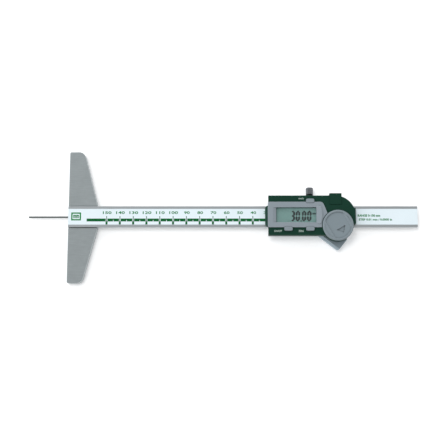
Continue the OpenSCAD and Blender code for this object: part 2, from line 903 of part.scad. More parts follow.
module lcd_panel() {
    color([0.45, 0.56, 0.54])
        on_slider()
            translate([win_u - lcd_l / 2, win_y - lcd_w / 2, lcd_z])
                cube([lcd_l, lcd_w, lcd_t]);
}

module display_window() {
    color([0.75, 0.85, 0.85, 0.35])
        on_slider()
            translate([0, 0, window_z])
                linear_extrude(window_t)
                    pad(
                        [win_u, win_y],
                        [win_l + 4 * window_lip, win_h + 4 * window_lip],
                        win_r
                    );
}

// Sector of the bayonet, from one angle to the other and opposite it
module sectors(from, to, r, h) {
    mid = (from + to) / 2;
    half = (to - from) / 2;
    for (turn = [0, 180])
        rotate([0, 0, mid + turn])
            intersection() {
                cylinder(r = r, h = h);
                linear_extrude(h)
                    polygon([[0, 0], [2 * r, -2 * r * tan(half)], [2 * r, 2 * r * tan(half)]]);
            }
}

// Pocket, ledge, bayonet and contact notch that the battery cup is hollowed out by
module battery_pocket() {
    slack = 2;
    groove_r = spigot_r + lug_out + fit_gap;
    translate([cell_u, -cell_y, 0]) {
        translate([0, 0, cell_z])
            cylinder(r = pocket_r, h = cup_top);
        translate([0, 0, frame_top])
            cylinder(r = cell_d / 2 - ledge_w, h = case_rise);
        translate([0, 0, spigot_z - fit_gap])
            sectors(-lug_angle / 2 - slack, open_angle, groove_r, lug_h + 2 * fit_gap);
        translate([0, 0, spigot_z - fit_gap / 2])
            sectors(
                open_angle - lug_angle / 2 - slack, open_angle + lug_angle / 2 + slack,
                groove_r + fit_gap / 2, cup_top
            );
        rotate([0, 0, 180])
            translate([cell_d / 2 - ledge_w - over, -contact_w / 2 - fit_gap, frame_top])
                cube([
                    ledge_w + over + cell_gap + 3 * contact_t,
                    contact_w + 2 * fit_gap,
                    cell_top + contact_t + fit_gap - frame_top
                ]);
    }
}

module button_hole(at) {
    pad(at, [button_l + 2 * button_gap, button_w + 2 * button_gap], button_r + button_gap);
}

// Display opening, buttons, data port, wipers, lock collar and boss pilots
module housing_cuts() {
    opening_w = 2 * window_lip + 2 * fit_gap;
    translate([0, 0, roof_under - over])
        linear_extrude(roof_t + 2 * over) {
            pad([win_u, win_y], [win_l + opening_w, win_h + opening_w], win_r + window_lip);
            for (p = button_at)
                button_hole(p);
        }
    translate([port_u - port_gap, case_w / 2 - port_l - port_gap, case_top - port_sunk])
        cube([port_w + 2 * port_gap, port_l + case_w, port_sunk + over]);
    translate([port_u + (port_w - socket_w) / 2, socket_y, board_top + fit_gap])
        cube([socket_w, case_w, socket_h]);
    translate([-over, -left_wiper_y - fit_gap, 0])
        cube([case_wall + 2 * over, 2 * (left_wiper_y + fit_gap), channel_roof + wiper_h + fit_gap]);
    translate([frame_end, -right_wiper_y - fit_gap, 0])
        cube([case_w, 2 * (right_wiper_y + fit_gap), channel_roof + wiper_h + fit_gap]);
    translate([lock_u, frame_y - over, mid_z])
        rotate([-90, 0, 0])
            cylinder(d = collar_d + 4 * fit_gap, h = case_w);
    for (p = boss_at)
        translate([p.x, p.y, frame_top - over])
            cylinder(d = small_screw_d, h = case_screw_l + plate_t - frame_top + over + thread_gap);
}

module housing() {
    color([0.11, 0.22, 0.17])
        on_slider()
            difference() {
                union() {
                    difference() {
                        translate([0, 0, skirt_z])
                            linear_extrude(case_top - skirt_z)
                                slider_plan(0);
                        translate([0, 0, skirt_z - over])
                            linear_extrude(roof_under - skirt_z + over)
                                slider_plan(case_wall);
                    }
                    translate([cell_u, -cell_y, board_top + fit_gap])
                        cylinder(r = cup_r, h = cup_top - board_top - fit_gap);
                    for (p = boss_at)
                        translate([p.x, p.y, frame_top])
                            cylinder(r = boss_r, h = case_rise - roof_t / 2);
                }
                battery_pocket();
                housing_cuts();
            }
}

// Crescent that rises away from the display to a curved crest and falls off beyond it
module bezel_ridge() {
    start = win_u + win_l / 2 + ridge_gap;
    root = bezel_t / 2;
    spread = ridge_fall / ridge_h;
    intersection() {
        translate([start + ridge_w - crest_r, win_y, bezel_z - root])
            cylinder(
                r1 = crest_r + (ridge_h + root) * spread,
                r2 = crest_r - ridge_fall,
                h = 2 * ridge_h + root
            );
        translate([start, win_y - ridge_l / 2, bezel_z])
            rotate([0, -atan2(ridge_h, ridge_w), 0])
                translate([0, 0, -2 * ridge_w])
                    cube([3 * ridge_w, ridge_l, 2 * ridge_w]);
    }
}

// Grey frame round the display with its lip down through the roof
module bezel() {
    opening = [win_l, win_h];
    lip = [win_l + 2 * window_lip, win_h + 2 * window_lip];
    color([0.53, 0.58, 0.6])
        on_slider()
            difference() {
                union() {
                    translate([0, 0, case_top])
                        linear_extrude(bezel_t)
                            rounded(
                                [[-bezel_left, -bezel_bottom], [bezel_right, -bezel_bottom],
                                 [bezel_right, bezel_top - lean_h],
                                 [bezel_right - bezel_lean, bezel_top], [-bezel_left, bezel_top]],
                                [bezel_small_r, bezel_small_r, bezel_small_r, bezel_r, bezel_small_r]
                            );
                    translate([0, 0, roof_under])
                        linear_extrude(roof_t + bezel_t / 2)
                            pad([win_u, win_y], lip, win_r + window_lip);
                    bezel_ridge();
                }
                translate([0, 0, roof_under - over])
                    linear_extrude(bezel_z + ridge_h)
                        pad([win_u, win_y], opening, win_r);
                translate([win_u - win_l / 2 - channel_w, win_y - win_h / 2, bezel_z])
                    rotate([0, atan2(channel_d, channel_w), 0])
                        cube([channel_w + over, win_h, bezel_t]);
                translate([cell_u, -cell_y, case_top - over])
                    cylinder(r = cover_d / 2 + bezel_gap, h = case_rise);
                translate([0, 0, case_top - over])
                    linear_extrude(bezel_t + 2 * over)
                        for (p = button_at)
                            button_hole(p);
            }
}

module housing_screws() {
    color([0.3, 0.31, 0.32])
        on_slider()
            for (p = boss_at)
                translate([p.x, p.y, plate_t])
                    countersunk(small_screw_d, small_head_d, case_screw_l);
}

module coin_cell() {
    step_h = 0.3;
    step_w = 1.1;
    color([0.72, 0.73, 0.74])
        on_slider()
            translate([cell_u, -cell_y, cell_z]) {
                cylinder(r = cell_d / 2 - step_w, h = cell_h);
                translate([0, 0, step_h])
                    cylinder(d = cell_d, h = cell_h - step_h);
            }
}

// Arched spring on the board, under the cell
module cell_contact_minus() {
    rise = cell_z - board_top;
    crown = 0.7;
    foot = 1.9;
    half_l = 4;
    color([0.8, 0.68, 0.4])
        on_slider()
            translate([cell_u, contact_w / 2 - cell_y, board_top])
                rotate([90, 0, 0])
                    linear_extrude(contact_w)
                        polygon([
                            [-half_l, 0], [-foot, 0], [-crown, rise - contact_t],
                            [crown, rise - contact_t], [foot, 0], [half_l, 0],
                            [half_l, contact_t], [foot, contact_t], [crown, rise],
                            [-crown, rise], [-foot, contact_t], [-half_l, contact_t]
                        ]);
}

// Hooked strip that rises beside the cell and lies on its rim
module cell_contact_plus() {
    leg_r = cell_d / 2 + cell_gap / 2;
    finger_l = 3;
    color([0.8, 0.68, 0.4])
        on_slider()
            translate([cell_u, -cell_y, 0])
                rotate([0, 0, 180]) {
                    translate([leg_r, -contact_w / 2, board_top])
                        cube([contact_t, contact_w, cell_top + contact_t - board_top]);
                    translate([leg_r - finger_l, -contact_w / 2, cell_top])
                        cube([finger_l + contact_t, contact_w, contact_t]);
                }
}

module dome_switches() {
    color([0.2, 0.2, 0.21])
        on_slider()
            for (p = button_at)
                translate([p.x, p.y, board_top]) {
                    translate([-switch_w / 2, -switch_w / 2, 0])
                        cube([switch_w, switch_w, switch_h]);
                    cylinder(d = switch_w / 2, h = switch_h + plunger_h);
                }
}

// Socket block with a row of contact blades
module port_contacts() {
    blades = 5;
    block_y = 2.4;
    blade_l = 1.6;
    blade_w = 0.5;
    pitch = (socket_w - 2 * fit_gap) / blades;
    color([0.78, 0.66, 0.38])
        on_slider()
            translate([port_u + (port_w - socket_w) / 2 + fit_gap, socket_y - block_y, board_top]) {
                cube([pitch * blades, block_y, socket_h]);
                for (i = [0:blades - 1])
                    translate([(i + 0.5) * pitch - blade_w / 2, block_y, socket_h / 2])
                        cube([blade_w, blade_l, contact_t]);
            }
}

module lock_collar() {
    color([0.1, 0.15, 0.13])
        on_slider()
            translate([lock_u, frame_y, mid_z])
                rotate([-90, 0, 0])
                    difference() {
                        cylinder(d = collar_d, h = collar_l);
                        translate([0, 0, -over])
                            cylinder(d = lock_shank_d + 2 * thread_gap, h = collar_l + 2 * over);
                    }
}

module lock_screw() {
    head_y = frame_y + collar_l + fit_gap;
    tip_y = gib_out + lock_free;
    r = lock_head_d / 2;
    color([0.45, 0.47, 0.48])
        on_slider()
            translate([lock_u, 0, mid_z])
                rotate([-90, 0, 0]) {
                    translate([0, 0, tip_y])
                        cylinder(d = lock_shank_d, h = head_y - tip_y + over);
                    translate([0, 0, head_y])
                        difference() {
                            union() {
                                cylinder(r = r, h = lock_head_l - lock_chamfer);
                                translate([0, 0, lock_head_l - lock_chamfer])
                                    cylinder(r1 = r, r2 = r - lock_chamfer, h = lock_chamfer);
                            }
                            for (i = [0:flutes - 1])
                                rotate([0, 0, i * 360 / flutes])
                                    translate([r + flute_d / 2, 0, -over])
                                        cylinder(r = 1.5 * flute_d, h = lock_head_l + 2 * over);
                        }
                }
}

// Cap, keeper collar and stem of one button
module button(at) {
    stem_d = 1.8;
    stem_z = board_top + switch_h + plunger_h + button_travel + fit_gap;
    color([0.54, 0.58, 0.59])
        on_slider()
            translate([at.x, at.y, 0]) {
                translate([0, 0, roof_under - roof_gap - lip_t])
                    linear_extrude(bezel_z + button_out - roof_under + roof_gap + lip_t)
                        pad([0, 0], [button_l, button_w], button_r);
                translate([0, 0, roof_under - roof_gap - lip_t])
                    linear_extrude(lip_t)
                        pad([0, 0], [button_l + 2 * button_lip, button_w + 2 * button_lip], button_r);
                translate([0, 0, stem_z])
                    cylinder(d = stem_d, h = roof_under - stem_z);
            }
}

module on_off_button() {
    button(button_at[1]);
}

module zero_button() {
    button(button_at[2]);
}

module unit_button() {
    button(button_at[0]);
}

// Twist cover with a sunk middle, an arrow mark, a seal groove and two bayonet lugs
module battery_cover() {
    r = cover_d / 2;
    groove_r = spigot_r - seal_d;
    groove_z = spigot_z + lug_h + fit_gap;
    groove_top = groove_z + seal_d + fit_gap;
    sunk_z = cover_top - sunk_d;
    half = sunk_w / 2;
    fallen = sunk_d - crest_fall;
    arrow_d = 0.9;
    color([0.5, 0.55, 0.57])
        on_slider()
            translate([cell_u, -cell_y, 0]) {
                difference() {
                    rotate_extrude()
                        polygon([
                            [0, spigot_z], [spigot_r, spigot_z], [spigot_r, groove_z],
                            [groove_r, groove_z], [groove_r, groove_top], [spigot_r, groove_top],
                            [spigot_r, cover_z], [r, cover_z], [r, cover_top - cover_chamfer],
                            [r - cover_chamfer, cover_top], [0, cover_top]
                        ]);
                    translate([0, 0, sunk_z])
                        intersection() {
                            cylinder(r = r - rim_w, h = sunk_d + over);
                            rotate([90, 0, 90 + sunk_angle])
                                translate([sunk_off, 0, -r])
                                    linear_extrude(2 * r)
                                        polygon([
                                            [sunk_slope - half, 0], [half - sunk_slope, 0],
                                            [half, sunk_d], [half + crest_run, fallen],
                                            [2 * half, fallen], [2 * half, sunk_d + over],
                                            [-2 * half, sunk_d + over], [-2 * half, fallen],
                                            [-half - crest_run, fallen], [-half, sunk_d]
                                        ]);
                        }
                    translate([0, 0, sunk_z - arrow_d])
                        linear_extrude(sunk_d + over)
                            polygon([[-1.2, -3.7], [4.4, -5.7], [5.4, 0.2]]);
                }
                translate([0, 0, spigot_z])
                    difference() {
                        sectors(-lug_angle / 2, lug_angle / 2, spigot_r + lug_out, lug_h);
                        translate([0, 0, -over])
                            cylinder(r = spigot_r - over, h = lug_h + 2 * over);
                    }
            }
}

module battery_seal() {
    groove_mid = spigot_z + lug_h + fit_gap + (seal_d + fit_gap) / 2;
    color([0.08, 0.08, 0.08])
        on_slider()
            translate([cell_u, -cell_y, groove_mid])
                rotate_extrude()
                    translate([spigot_r - seal_d / 2, 0])
                        circle(d = seal_d);
}

module port_cover() {
    panel_z = case_top - port_sunk + port_gap / 2;
    hook_y = case_w / 2 + port_gap;
    color([0.12, 0.24, 0.19])
        on_slider() {
            translate([port_u, case_w / 2 - port_l, panel_z])
                cube([port_w, port_l + port_gap + port_hook, port_t]);
            translate([port_u, hook_y, panel_z - port_drop])
                cube([port_w, port_hook, port_drop + port_t]);
        }
}

beam();
scale_strip();
scale_label();
graduations();
base();
base_screws();
rod_guide();
end_stop();
end_stop_screws();
slider_frame();
rear_plate();
rear_plate_screws();
gib();
gib_screws();
left_wiper();
right_wiper();
depth_rod();
rod_clamp();
sensor_plate();
circuit_board();
controller_chip();
lcd_connectors();
lcd_panel();
display_window();
housing();
bezel();
housing_screws();
coin_cell();
cell_contact_minus();
cell_contact_plus();
dome_switches();
port_contacts();
lock_collar();
lock_screw();
on_off_button();
zero_button();
unit_button();
battery_cover();
battery_seal();
port_cover();
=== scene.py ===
import json
import math

import bmesh
import bpy
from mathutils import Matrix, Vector

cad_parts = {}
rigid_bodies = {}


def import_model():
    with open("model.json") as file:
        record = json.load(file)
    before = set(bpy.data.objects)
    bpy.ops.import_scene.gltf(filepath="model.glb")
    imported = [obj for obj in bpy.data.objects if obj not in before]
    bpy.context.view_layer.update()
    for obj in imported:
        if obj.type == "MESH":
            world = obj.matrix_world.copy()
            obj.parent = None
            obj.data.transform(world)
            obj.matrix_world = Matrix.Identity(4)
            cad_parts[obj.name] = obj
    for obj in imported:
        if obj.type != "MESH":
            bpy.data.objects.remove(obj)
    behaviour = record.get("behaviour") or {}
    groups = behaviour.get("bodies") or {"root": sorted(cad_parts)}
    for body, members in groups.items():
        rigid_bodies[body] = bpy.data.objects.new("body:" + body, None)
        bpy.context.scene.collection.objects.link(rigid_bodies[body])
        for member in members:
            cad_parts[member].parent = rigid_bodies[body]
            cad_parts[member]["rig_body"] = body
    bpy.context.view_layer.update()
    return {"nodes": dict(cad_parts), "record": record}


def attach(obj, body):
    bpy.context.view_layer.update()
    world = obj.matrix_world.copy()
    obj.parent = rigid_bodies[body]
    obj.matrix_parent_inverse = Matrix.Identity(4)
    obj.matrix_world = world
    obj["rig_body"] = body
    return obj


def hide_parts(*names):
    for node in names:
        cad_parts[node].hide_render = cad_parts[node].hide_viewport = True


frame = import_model()
mm = 0.001  # sizes of print and rounded edges are given in millimetres
print("frame loaded:", len(frame["nodes"]), "nodes")


# shared shader node groups

def newGroup(name, inputs, outputs):
    group = bpy.data.node_groups.new(name, "ShaderNodeTree")
    for label, kind, value in inputs:
        socket = group.interface.new_socket(label, in_out="INPUT", socket_type=kind)
        socket.default_value = value
    for label, kind in outputs:
        group.interface.new_socket(label, in_out="OUTPUT", socket_type=kind)
    return group, group.nodes.new("NodeGroupInput"), group.nodes.new("NodeGroupOutput")


def addMath(tree, operation, first, second, clamp=False):
    node = tree.nodes.new("ShaderNodeMath")
    node.operation = operation
    node.use_clamp = clamp
    for index, value in enumerate((first, second)):
        if hasattr(value, "links"):
            tree.links.new(value, node.inputs[index])
        else:
            node.inputs[index].default_value = value
    return node.outputs[0]


def stretchedNoise(tree, stretch, detail, roughness):
    place = tree.nodes.new("ShaderNodeTexCoord")
    scaled = tree.nodes.new("ShaderNodeVectorMath")
    scaled.operation = "MULTIPLY"
    tree.links.new(place.outputs["Object"], scaled.inputs[0])
    tree.links.new(stretch, scaled.inputs[1])
    noise = tree.nodes.new("ShaderNodeTexNoise")
    noise.inputs["Scale"].default_value = 1.0
    noise.inputs["Detail"].default_value = detail
    noise.inputs["Roughness"].default_value = roughness
    tree.links.new(scaled.outputs[0], noise.inputs["Vector"])
    return noise.outputs["Fac"]


def buildGrainGroup():
    # lines of a brushed metal, or the skin of moulded plastic when the stretch is even
    group, given, result = newGroup(
        "surfaceGrain",
        [("Stretch", "NodeSocketVector", (400, 400, 400)), ("Tone", "NodeSocketFloat", 0.05),
         ("Rough", "NodeSocketFloat", 0.4), ("Rough Spread", "NodeSocketFloat", 0.1)],
        [("Tone", "NodeSocketFloat"), ("Rough", "NodeSocketFloat"), ("Height", "NodeSocketFloat")])
    fac = stretchedNoise(group, given.outputs["Stretch"], detail=4.0, roughness=0.6)
    centred = addMath(group, "SUBTRACT", fac, 0.5)
    tone = addMath(group, "MULTIPLY", centred, given.outputs["Tone"])
    rough = addMath(group, "MULTIPLY", centred, given.outputs["Rough Spread"])
    group.links.new(addMath(group, "ADD", tone, 1.0), result.inputs["Tone"])
    group.links.new(addMath(group, "ADD", rough, given.outputs["Rough"], True), result.inputs["Rough"])
    group.links.new(fac, result.inputs["Height"])
    return group


def buildHandlingGroup():
    # faint wide marks that handling leaves in the sheen and, as strongly, in the tone
    group, given, result = newGroup(
        "handlingMarks",
        [("Size", "NodeSocketFloat", 60.0), ("Amount", "NodeSocketFloat", 0.08)],
        [("Rough", "NodeSocketFloat"), ("Tone", "NodeSocketFloat")])
    spread = group.nodes.new("ShaderNodeCombineXYZ")
    for axis in range(3):
        group.links.new(given.outputs["Size"], spread.inputs[axis])
    fac = stretchedNoise(group, spread.outputs[0], detail=2.0, roughness=0.5)
    centred = addMath(group, "SUBTRACT", fac, 0.5)
    rough = addMath(group, "MULTIPLY", centred, given.outputs["Amount"])
    group.links.new(rough, result.inputs["Rough"])
    group.links.new(addMath(group, "SUBTRACT", 1.0, rough), result.inputs["Tone"])
    return group


def buildEdgeGroup():
    # up to Amount along the edges, where use rubs a finish and a painted highlight stands in for light
    # catching the rims, and 0 on flat faces
    contrast = 6.0
    group, given, result = newGroup(
        "edgeWearAndHighlight",
        [("Radius", "NodeSocketFloat", 0.0004), ("Amount", "NodeSocketFloat", 0.5)],
        [("Mask", "NodeSocketFloat")])
    bevel = group.nodes.new("ShaderNodeBevel")
    bevel.samples = 4
    group.links.new(given.outputs["Radius"], bevel.inputs["Radius"])
    shape = group.nodes.new("ShaderNodeNewGeometry")
    dot = group.nodes.new("ShaderNodeVectorMath")
    dot.operation = "DOT_PRODUCT"
    group.links.new(bevel.outputs[0], dot.inputs[0])
    group.links.new(shape.outputs["Normal"], dot.inputs[1])
    bent = addMath(group, "SUBTRACT", 1.0, dot.outputs["Value"])
    strong = addMath(group, "MULTIPLY", bent, contrast, True)
    group.links.new(addMath(group, "MULTIPLY", strong, given.outputs["Amount"]), result.inputs["Mask"])
    return group


def buildCavityGroup():
    # 1 on open faces, less in grooves and inner corners: painted shade where less light reaches
    group, given, result = newGroup(
        "paintedCavityShade",
        [("Distance", "NodeSocketFloat", 0.0015), ("Amount", "NodeSocketFloat", 0.4)],
        [("Tone", "NodeSocketFloat")])
    around = group.nodes.new("ShaderNodeAmbientOcclusion")
    around.samples = 8
    around.only_local = True
    group.links.new(given.outputs["Distance"], around.inputs["Distance"])
    closed = addMath(group, "SUBTRACT", 1.0, around.outputs["AO"])
    shade = addMath(group, "MULTIPLY", closed, given.outputs["Amount"])
    group.links.new(addMath(group, "SUBTRACT", 1.0, shade, True), result.inputs["Tone"])
    return group


grainGroup = buildGrainGroup()
handlingGroup = buildHandlingGroup()
edgeWearHighlightGroup = buildEdgeGroup()
paintedShadeGroup = buildCavityGroup()


# finishes

def fromScreen(color):
    # screen colour 0-255 to the linear colour that a shader takes
    parts = [c / 255 for c in color]
    return [p / 12.92 if p <= 0.04045 else ((p + 0.055) / 1.055) ** 2.4 for p in parts] + [1.0]


def placeGroup(tree, group, values):
    node = tree.nodes.new("ShaderNodeGroup")
    node.node_tree = group
    for label, value in values.items():
        node.inputs[label].default_value = value
    return node


# what a finish has unless its own entry says otherwise, radius and depth in metres
plainFinish = dict(metallic=0.0, ior=1.5, specular=0.5, markSize=70.0, marks=0.06, edgeRadius=0.0003,
                   bumpDepth=0.00003)


def makeFinish(name, ownSettings):
    settings = {**plainFinish, **ownSettings}
    material = bpy.data.materials.new(name)
    material.use_nodes = True
    tree = material.node_tree
    shader = tree.nodes["Principled BSDF"]
    shader.inputs["Metallic"].default_value = settings["metallic"]
    shader.inputs["IOR"].default_value = settings["ior"]
    shader.inputs["Specular IOR Level"].default_value = settings["specular"]
    grain = placeGroup(tree, grainGroup, {
        "Stretch": settings["stretch"], "Tone": settings["tone"],
        "Rough": settings["rough"], "Rough Spread": settings["spread"]})
    marks = placeGroup(tree, handlingGroup, {"Size": settings["markSize"], "Amount": settings["marks"]})
    wearAndHighlight = placeGroup(tree, edgeWearHighlightGroup, {"Radius": settings["edgeRadius"], "Amount": settings["edge"]})
    tone = addMath(tree, "MULTIPLY", grain.outputs["Tone"], marks.outputs["Tone"])
    # grooves and inner corners get darker here: painted shade
    if "paintedShade" in settings:
        paintedShade = placeGroup(tree, paintedShadeGroup, {"Amount": settings["paintedShade"]})
        tone = addMath(tree, "MULTIPLY", tone, paintedShade.outputs["Tone"])
    shade = tree.nodes.new("ShaderNodeVectorMath")
    shade.operation = "SCALE"
    shade.inputs[0].default_value = fromScreen(settings["color"])[:3]
    tree.links.new(tone, shade.inputs["Scale"])
    mix = tree.nodes.new("ShaderNodeMix")
    mix.data_type = "RGBA"
    # edges take the lighter edge colour: rubbed wear, and a painted highlight on rims
    tree.links.new(wearAndHighlight.outputs["Mask"], mix.inputs["Factor"])
    tree.links.new(shade.outputs[0], mix.inputs["A"])
    mix.inputs["B"].default_value = fromScreen(settings.get("edgeWearHighlightColor", settings["color"]))
    tree.links.new(mix.outputs["Result"], shader.inputs["Base Color"])
    rough = addMath(tree, "ADD", grain.outputs["Rough"], marks.outputs["Rough"], True)
    tree.links.new(rough, shader.inputs["Roughness"])
    bump = tree.nodes.new("ShaderNodeBump")
    bump.inputs["Strength"].default_value = settings["bump"]
    bump.inputs["Distance"].default_value = settings["bumpDepth"]
    tree.links.new(grain.outputs["Height"], bump.inputs["Height"])
    tree.links.new(bump.outputs["Normal"], shader.inputs["Normal"])
    material.diffuse_color = fromScreen(settings["color"])
    return material


# how many times in a metre the grain repeats along x, y and z
alongX = (300, 9000, 9000)
alongY = (9000, 300, 9000)
evenSkin = (5200, 5200, 5200)
# colours are as a screen shows them, 0-255
# the edge colour is lighter than the face: rubbed wear, and a painted highlight on rims and crests
finishes = {
    "satin_steel": dict(color=(192, 197, 199), metallic=1.0, rough=0.36, spread=0.16, tone=0.16,
                        stretch=alongX, bump=0.12, edge=0.35, edgeWearHighlightColor=(222, 226, 228)),
    "ground_steel": dict(color=(176, 183, 184), metallic=1.0, rough=0.42, spread=0.3, tone=0.34,
                         stretch=(130, 1300, 1300), bump=0.12, markSize=110, marks=0.16,
                         edge=0.35, edgeWearHighlightColor=(222, 226, 228)),
    "rod_steel": dict(color=(127, 132, 131), metallic=1.0, rough=0.3, spread=0.1, tone=0.1,
                      stretch=alongX, bump=0.08, edge=0.2, edgeWearHighlightColor=(205, 208, 208)),
    "frame_steel": dict(color=(170, 184, 191), metallic=1.0, rough=0.62, spread=0.14, tone=0.14,
                        stretch=(2600, 2600, 2600), bump=0.18, edge=0.4, edgeWearHighlightColor=(214, 221, 226)),
    "screw_steel": dict(color=(165, 167, 169), metallic=1.0, rough=0.34, spread=0.12, tone=0.12,
                        stretch=evenSkin, bump=0.1, edge=0.3, edgeWearHighlightColor=(205, 207, 208)),
    "lock_steel": dict(color=(112, 116, 119), metallic=1.0, rough=0.26, spread=0.14, tone=0.16,
                       stretch=evenSkin, bump=0.1, edge=0.5, edgeWearHighlightColor=(220, 223, 226)),
    "copper_grating": dict(color=(205, 140, 105), metallic=1.0, rough=0.35, spread=0.1, tone=0.1,
                           stretch=alongX, bump=0.05, edge=0.0),
    "brass": dict(color=(214, 188, 122), metallic=1.0, rough=0.32, spread=0.12, tone=0.1,
                  stretch=alongX, bump=0.08, edge=0.3, edgeWearHighlightColor=(232, 210, 150)),
    "gold_contact": dict(color=(226, 196, 118), metallic=1.0, rough=0.25, spread=0.08, tone=0.06,
                         stretch=evenSkin, bump=0.04, edge=0.2, edgeWearHighlightColor=(240, 216, 150)),
    "scale_label": dict(color=(228, 240, 245), rough=0.36, spread=0.06, tone=0.02, specular=0.3,
                        stretch=(900, 900, 900), bump=0.03, edge=0.0),
    "green_ink": dict(color=(14, 92, 46), rough=0.5, spread=0.08, tone=0.12, specular=0.15,
                      stretch=(3000, 3000, 3000), bump=0.05, edge=0.0),
    "number_ink": dict(color=(18, 126, 62), rough=0.5, spread=0.08, tone=0.12, specular=0.15,
                       stretch=(3000, 3000, 3000), bump=0.05, edge=0.0),
    "green_plastic": dict(color=(16, 54, 41), rough=0.46, spread=0.1, tone=0.12, specular=0.15,
                          stretch=evenSkin, bump=0.25, edge=0.35, edgeWearHighlightColor=(52, 92, 74)),
    # the cavity amount darkens grooves and inner corners of these plastics: painted shade
    "grey_plastic": dict(color=(134, 144, 151), rough=0.44, spread=0.1, tone=0.08, paintedShade=0.7,
                         stretch=evenSkin, bump=0.25, edge=0.5, edgeRadius=0.0006,
                         edgeWearHighlightColor=(186, 195, 201)),
    "button_grey": dict(color=(128, 139, 145), rough=0.46, spread=0.1, tone=0.06,
                        stretch=evenSkin, bump=0.2, edge=0.3, edgeWearHighlightColor=(176, 184, 189)),
    "cover_grey": dict(color=(124, 136, 142), rough=0.4, spread=0.1, tone=0.08, paintedShade=0.9,
                       stretch=evenSkin, bump=0.22, edge=0.6, edgeWearHighlightColor=(188, 197, 202)),
    "wiper_rubber": dict(color=(34, 70, 58), specular=0.3, rough=0.62, spread=0.1, tone=0.12,
                         stretch=evenSkin, bump=0.2, edge=0.2, edgeWearHighlightColor=(44, 72, 60)),
    "seal_rubber": dict(color=(24, 25, 25), rough=0.6, spread=0.1, tone=0.1,
                        stretch=evenSkin, bump=0.2, edge=0.0),
    "connector_rubber": dict(color=(208, 168, 184), rough=0.6, spread=0.08, tone=0.1,
                             stretch=alongY, bump=0.1, edge=0.0),
    "lcd_glass": dict(color=(122, 156, 151), rough=0.35, spread=0.05, tone=0.05, specular=0.2,
                      stretch=(1500, 1500, 1500), bump=0.02, edge=0.0),
    "board_green": dict(color=(38, 96, 62), rough=0.42, spread=0.08, tone=0.12,
                        stretch=(2200, 2200, 2200), bump=0.12, edge=0.2, edgeWearHighlightColor=(150, 156, 96)),
    "black_plastic": dict(color=(10, 14, 14), rough=0.45, spread=0.08, tone=0.1, specular=0.2,
                          stretch=evenSkin, bump=0.2, edge=0.2, edgeWearHighlightColor=(60, 62, 63)),
    "cell_steel": dict(color=(205, 207, 208), metallic=1.0, rough=0.26, spread=0.1, tone=0.08,
                       stretch=(3000, 3000, 3000), bump=0.06, edge=0.3, edgeWearHighlightColor=(226, 228, 229)),
    "lcd_ink": dict(color=(4, 14, 18), rough=0.5, spread=0.05, tone=0.06,
                    stretch=evenSkin, bump=0.0, edge=0.0),
    "label_ink": dict(color=(176, 192, 184), rough=0.5, spread=0.06, tone=0.08,
                      stretch=evenSkin, bump=0.05, edge=0.0),
}
materials = {name: makeFinish(name, settings) for name, settings in finishes.items()}


windowLook = {"color": (150, 168, 164), "alpha": 0.05, "ior": 1.49, "stretch": (260, 260, 260),
              "tone": 0.02, "rough": 0.06, "ripple": 0.02}


def makeWindow():
    material = bpy.data.materials.new("clear_window")
    material.use_nodes = True
    tree = material.node_tree
    shader = tree.nodes["Principled BSDF"]
    shader.inputs["IOR"].default_value = windowLook["ior"]
    grain = placeGroup(tree, grainGroup, {
        "Stretch": windowLook["stretch"], "Tone": windowLook["tone"],
        "Rough": windowLook["rough"], "Rough Spread": windowLook["ripple"]})
    shade = tree.nodes.new("ShaderNodeVectorMath")
    shade.operation = "SCALE"
    shade.inputs[0].default_value = fromScreen(windowLook["color"])[:3]
    tree.links.new(grain.outputs["Tone"], shade.inputs["Scale"])
    tree.links.new(shade.outputs[0], shader.inputs["Base Color"])
    tree.links.new(grain.outputs["Rough"], shader.inputs["Roughness"])
    shader.inputs["Alpha"].default_value = windowLook["alpha"]
    return material


materials["clear_window"] = makeWindow()
print("finishes ready:", len(materials))


# pieces made from the CAD nodes

def paint(obj, finish):
    obj.data.materials.clear()
    obj.data.materials.append(materials[finish])


def dressNode(node, finish):
    paint(frame["nodes"][node], finish)


def bodyOf(node):
    return frame["nodes"][node]["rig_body"]


# joinWithin in metres, angles in degrees, levelBelow and uprightFrom as an edge's rise over its length
rounding = {"joinWithin": 2e-6, "flatWithin": 1, "cornersOfRing": 40, "roundOver": 35, "crispFrom": 14,
            "levelBelow": 0.05, "uprightFrom": 0.95, "flatWeight": 100}


